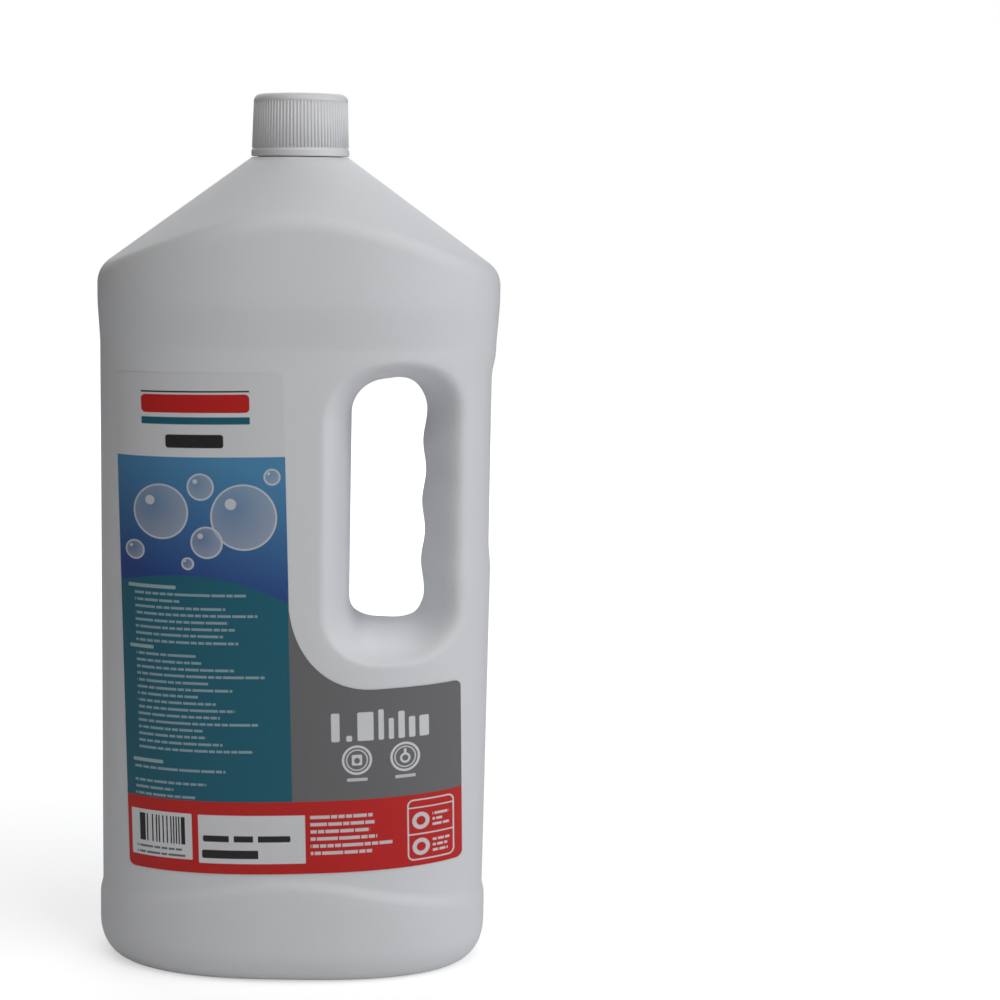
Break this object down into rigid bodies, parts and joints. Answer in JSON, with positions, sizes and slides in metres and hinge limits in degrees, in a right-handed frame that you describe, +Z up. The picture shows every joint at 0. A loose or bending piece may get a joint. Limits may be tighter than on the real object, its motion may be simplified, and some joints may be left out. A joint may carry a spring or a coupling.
{
  "type": "bleach bottle with a handle",
  "caption": "Flattened oval plastic bottle with sloping shoulders, a through grip with finger hollows, a ribbed screw cap and a front label; it stores and pours liquid cleaner.",
  "frame": {"origin": "centre of the base, on the surface that the bottle stands on", "axes": "+Z up along the neck, the front with the label faces -Y, and the grip is on the +X side"},
  "size_m": [0.127, 0.081, 0.276],
  "materials": {
    "bottle_plastic": "satin blow-moulded polyethylene",
    "cap_plastic": "satin injection-moulded plastic",
    "liner_foam": "closed-cell foam",
    "label_paper": "printed coated paper"
  },
  "bodies": {
    "container": {"bottle": "bottle_plastic", "label": "label_paper"},
    "liner_disc": {"cap_liner": "liner_foam"},
    "screw_cap": {"cap": "cap_plastic"}
  },
  "joints": [
    {"name": "cap_lift", "type": "slide", "parent": "container", "child": "liner_disc", "axis": [0, 0, 1], "range_m": [0, 0.0252]},
    {"name": "cap_turn", "type": "hinge", "parent": "liner_disc", "child": "screw_cap", "pos_m": [0, 0, 0.2655], "axis": [0, 0, 1], "range_deg": [0, 2126]}
  ],
  "couplings": [
    {"joint": "cap_lift", "follows": "cap_turn", "m_per_rad": 0.0006737}
  ]
}
